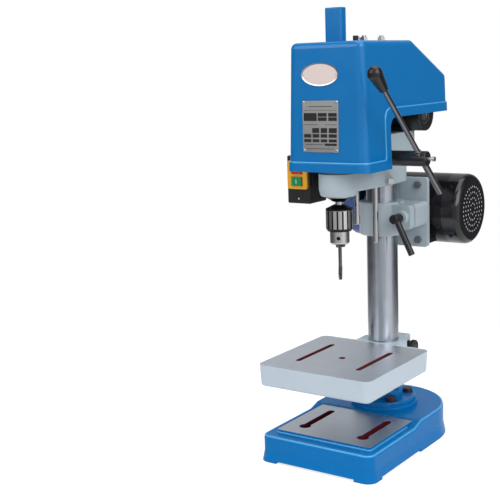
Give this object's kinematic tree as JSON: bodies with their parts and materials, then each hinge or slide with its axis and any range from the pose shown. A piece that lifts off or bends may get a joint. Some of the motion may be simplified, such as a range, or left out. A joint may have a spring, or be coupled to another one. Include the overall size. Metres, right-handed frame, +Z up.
{
  "type": "machine.tapping.bench",
  "caption": "Bench tapping machine with a blue hood and base, light gray castings, a polished column, a sliding work table, a motor behind, a quill with a key chuck and one feed lever",
  "frame": {"origin": "on the column axis at the bench plane, under the base", "axes": "+Z up along the column; -Y faces the operator; +X is the operator's right, the feed lever's side"},
  "size_m": [0.292, 0.47, 0.823],
  "materials": {
    "blue_paint": "glossy blue enamel on cast iron",
    "blue_sheet": "glossy blue enamel on steel sheet",
    "gray_paint": "light gray enamel on cast iron",
    "ground_steel": "ground bare steel",
    "zinc_steel": "zinc-plated steel",
    "bearing_steel": "polished bearing steel",
    "bright_chuck": "bright turned steel",
    "dark_tool_steel": "dark hardened tool steel",
    "rust_red_bolt": "dark red primer on steel",
    "black_enamel": "gloss black enamel on steel sheet",
    "motor_black": "gloss black enamel on aluminium, solid for the wound motor",
    "black_casting": "black enamel on cast iron",
    "black_plastic": "black moulded plastic",
    "black_gloss_plastic": "polished black plastic",
    "yellow_plastic": "golden yellow plastic",
    "green_plastic": "green plastic",
    "red_plastic": "red plastic",
    "cast_aluminium": "turned cast aluminium",
    "belt_rubber": "black belt rubber",
    "disc_iron": "turned bare cast iron",
    "bush_bronze": "plain bearing bronze"
  },
  "bodies": {
    "stand": {"base_casting": "blue_paint", "column_flange": "blue_paint", "flange_bolts": "rust_red_bolt", "column": "ground_steel", "head_casting": "gray_paint", "head_lock_screw": "zinc_steel", "guide_rod": "ground_steel", "motor_bracket": "gray_paint", "bracket_clamp_stud": "zinc_steel", "motor_bolts": "zinc_steel", "motor_frame": "motor_black", "motor_end_shield": "motor_black", "fan_cowl": "black_enamel", "drive_belt": "belt_rubber", "transfer_belt": "belt_rubber", "belt_guard": "blue_sheet", "countershaft_housing": "black_casting", "sleeve_bearings": "bearing_steel", "bearing_bridge": "black_casting", "hood": "blue_sheet", "spindle_cap": "blue_sheet", "hood_fasteners": "zinc_steel", "shaft_bushes": "bush_bronze", "return_spring_cup": "black_enamel", "switch_box": "black_plastic", "switch_bezel": "yellow_plastic", "switch_bracket": "black_enamel"},
    "table": {"work_table": "gray_paint"},
    "table_handle": {"table_clamp_screw": "zinc_steel", "table_clamp_handle": "black_plastic"},
    "bracket_handle": {"bracket_clamp_handle": "black_plastic"},
    "feed_lever": {"feed_sector": "ground_steel", "feed_shaft": "ground_steel", "lever_hub": "black_enamel", "lever_rod": "ground_steel", "lever_knob": "black_gloss_plastic", "lever_set_screw": "zinc_steel"},
    "quill_unit": {"quill": "ground_steel", "quill_bearings": "bearing_steel", "quill_cap": "black_enamel", "depth_arm": "ground_steel", "depth_rod": "ground_steel"},
    "spindle_unit": {"spindle": "ground_steel", "chuck_body": "bright_chuck", "tap": "dark_tool_steel"},
    "chuck_ring": {"chuck_sleeve": "bright_chuck"},
    "jaw_1": {"chuck_jaw_1": "dark_tool_steel"},
    "jaw_2": {"chuck_jaw_2": "dark_tool_steel"},
    "jaw_3": {"chuck_jaw_3": "dark_tool_steel"},
    "sleeve_unit": {"drive_sleeve": "ground_steel", "friction_discs": "disc_iron"},
    "friction_unit": {"friction_shaft": "ground_steel", "friction_wheel": "belt_rubber"},
    "countershaft_unit": {"countershaft": "ground_steel", "counter_pulley": "cast_aluminium"},
    "motor_rotor": {"motor_shaft": "ground_steel", "motor_fan": "black_plastic", "motor_pulley": "cast_aluminium"},
    "start_push": {"start_button": "green_plastic"},
    "stop_push": {"stop_button": "red_plastic"}
  },
  "joints": [
    {"name": "table_slide", "type": "slide", "parent": "stand", "child": "table", "axis": [0, 0, 1], "range_m": [-0.02, 0.14]},
    {"name": "table_handle_turn", "type": "hinge", "parent": "table", "child": "table_handle", "pos_m": [0.0353, 0.051, 0.1615], "axis": [1, 0, 0], "range_deg": [-20, 75]},
    {"name": "bracket_handle_turn", "type": "hinge", "parent": "stand", "child": "bracket_handle", "pos_m": [0.057, -0.0503, 0.436], "axis": [0, 1, 0], "range_deg": [-95, 15]},
    {"name": "lever_swing", "type": "hinge", "parent": "stand", "child": "feed_lever", "pos_m": [0, -0.0882, 0.554], "axis": [1, 0, 0], "range_deg": [0, 51.57], "stiffness_Nm_per_rad": 1.5, "springref_deg": -114.59},
    {"name": "quill_feed", "type": "slide", "parent": "stand", "child": "quill_unit", "axis": [0, 0, -1], "range_m": [0, 0.045]},
    {"name": "sleeve_spin", "type": "hinge", "parent": "stand", "child": "sleeve_unit", "pos_m": [0, -0.161, 0.69], "axis": [0, 0, 1], "continuous": true},
    {"name": "spindle_spin", "type": "hinge", "parent": "quill_unit", "child": "spindle_unit", "pos_m": [0, -0.161, 0.55], "axis": [0, 0, 1], "continuous": true},
    {"name": "chuck_ring_turn", "type": "hinge", "parent": "spindle_unit", "child": "chuck_ring", "pos_m": [0, -0.161, 0.447], "axis": [0, 0, 1], "range_deg": [0, 360]},
    {"name": "motor_spin", "type": "hinge", "parent": "stand", "child": "motor_rotor", "pos_m": [0, 0.13, 0.435], "axis": [1, 0, 0], "continuous": true},
    {"name": "countershaft_spin", "type": "hinge", "parent": "stand", "child": "countershaft_unit", "pos_m": [0, 0.045, 0.626], "axis": [1, 0, 0], "continuous": true},
    {"name": "friction_spin", "type": "hinge", "parent": "stand", "child": "friction_unit", "pos_m": [0, -0.161, 0.69], "axis": [1, 0, 0], "continuous": true},
    {"name": "start_button_press", "type": "slide", "parent": "stand", "child": "start_push", "axis": [0, 1, 0], "range_m": [0, 0.003], "stiffness_N_per_m": 400, "springref_m": -0.001},
    {"name": "stop_button_press", "type": "slide", "parent": "stand", "child": "stop_push", "axis": [0, 1, 0], "range_m": [0, 0.003], "stiffness_N_per_m": 400, "springref_m": -0.001},
    {"name": "jaw_1_slide", "type": "slide", "parent": "spindle_unit", "child": "jaw_1", "axis": [0.1914, 0.0812, 0.9781], "range_m": [0, 0.0025]},
    {"name": "jaw_2_slide", "type": "slide", "parent": "spindle_unit", "child": "jaw_2", "axis": [-0.166, 0.1251, 0.9781], "range_m": [0, 0.0025]},
    {"name": "jaw_3_slide", "type": "slide", "parent": "spindle_unit", "child": "jaw_3", "axis": [-0.0253, -0.2064, 0.9781], "range_m": [0, 0.0025]}
  ],
  "couplings": [
    {"joint": "quill_feed", "follows": "lever_swing", "m_per_rad": 0.05},
    {"joint": "spindle_spin", "follows": "sleeve_spin", "ratio": 1},
    {"joint": "countershaft_spin", "follows": "motor_spin", "ratio": 0.69811},
    {"joint": "friction_spin", "follows": "motor_spin", "ratio": 0.69811},
    {"joint": "jaw_1_slide", "follows": "chuck_ring_turn", "m_per_rad": 0.00039789},
    {"joint": "jaw_2_slide", "follows": "chuck_ring_turn", "m_per_rad": 0.00039789},
    {"joint": "jaw_3_slide", "follows": "chuck_ring_turn", "m_per_rad": 0.00039789}
  ]
}
